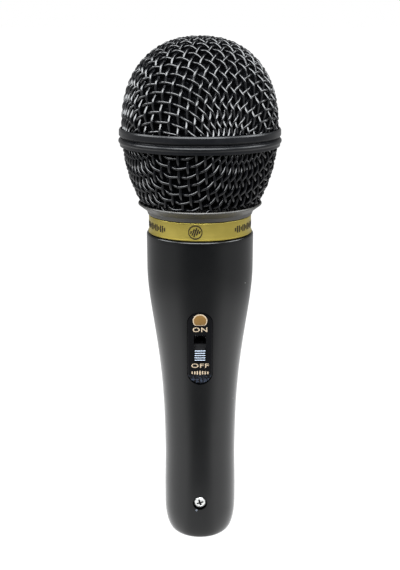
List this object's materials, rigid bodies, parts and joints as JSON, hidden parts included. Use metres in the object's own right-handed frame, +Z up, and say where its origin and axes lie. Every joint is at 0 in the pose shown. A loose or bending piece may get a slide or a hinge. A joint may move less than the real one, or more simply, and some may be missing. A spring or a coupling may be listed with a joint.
{
  "type": "dynamic microphone",
  "caption": "Handheld dynamic microphone with a woven-wire ball grille, tapered black handle, gold trim ring, slide switch and three-pin cable socket.",
  "frame": {"origin": "centre of the bottom rim, in the plane that the microphone stands on", "axes": "+Z up the microphone's axis from the cable socket to the grille; -Y towards the switch"},
  "size_m": [0.0512, 0.0512, 0.1665],
  "materials": {
    "handle_paint": "satin black paint",
    "band_paint": "satin dark grey-black paint",
    "mesh_paint": "black paint on woven wire",
    "gold_trim": "satin gold anodised",
    "contact_metal": "gold plated contacts",
    "black_plastic": "moulded, fine texture",
    "knob_plastic": "moulded light grey",
    "foam": "open-cell foam",
    "rubber": "soft moulded rubber",
    "steel": "bright zinc-plated",
    "magnet": "ground magnet, nickel grey",
    "copper": "copper alloy",
    "film": "thin clear polyester film",
    "board": "phenolic board",
    "wire_red": "wire insulation",
    "wire_white": "wire insulation",
    "wire_green": "wire insulation",
    "wire_black": "wire insulation"
  },
  "bodies": {
    "handle": {"handle_shell": "handle_paint", "connector_insert": "black_plastic", "connector_pin_1": "contact_metal", "connector_pin_2": "contact_metal", "connector_pin_3": "contact_metal", "connector_screw": "steel", "neck_sleeve": "black_plastic", "gold_trim_ring": "gold_trim", "capsule_frame": "black_plastic", "magnet_yoke": "steel", "magnet_disc": "magnet", "pole_cap": "steel", "capsule_front_cap": "black_plastic", "front_felt": "foam", "capsule_rear_can": "black_plastic", "terminal_board": "board", "terminal_tag_left": "copper", "terminal_tag_right": "copper", "shock_mount": "rubber", "switch_plate": "black_plastic", "gold_marker": "gold_trim", "switch_housing": "steel", "switch_terminal_1": "copper", "switch_terminal_2": "copper", "switch_terminal_3": "copper", "lead_capsule_to_switch": "wire_red", "lead_capsule_to_pin_3": "wire_white", "lead_switch_to_pin_2": "wire_green", "lead_switch_to_pin_1": "wire_black"},
    "foam_carrier": {"foam_liner_upper": "foam", "foam_liner_lower": "foam"},
    "grille_head": {"grille_dome_mesh": "mesh_paint", "grille_bowl_mesh": "mesh_paint", "band_upper_ring": "band_paint", "band_lower_ring": "band_paint", "grille_collar": "band_paint"},
    "switch_slider": {"switch_knob": "knob_plastic", "contact_clip": "copper"},
    "diaphragm_assembly": {"diaphragm": "film", "voice_coil": "copper"}
  },
  "joints": [
    {"name": "switch_slide", "type": "slide", "parent": "handle", "child": "switch_slider", "axis": [0, -0.1288, 0.9917], "range_m": [0, 0.0044]},
    {"name": "grille_rise", "type": "slide", "parent": "handle", "child": "foam_carrier", "axis": [0, 0, 1], "range_m": [0, 0.005]},
    {"name": "grille_unscrew", "type": "hinge", "parent": "foam_carrier", "child": "grille_head", "pos_m": [0, 0, 0.112], "axis": [0, 0, 1], "range_deg": [0, 1800]},
    {"name": "diaphragm_travel", "type": "slide", "parent": "handle", "child": "diaphragm_assembly", "axis": [0, 0, 1], "range_m": [-0.0003, 0.0003], "stiffness_N_per_m": 200}
  ],
  "couplings": [
    {"joint": "grille_rise", "follows": "grille_unscrew", "m_per_rad": 0.00015915}
  ]
}
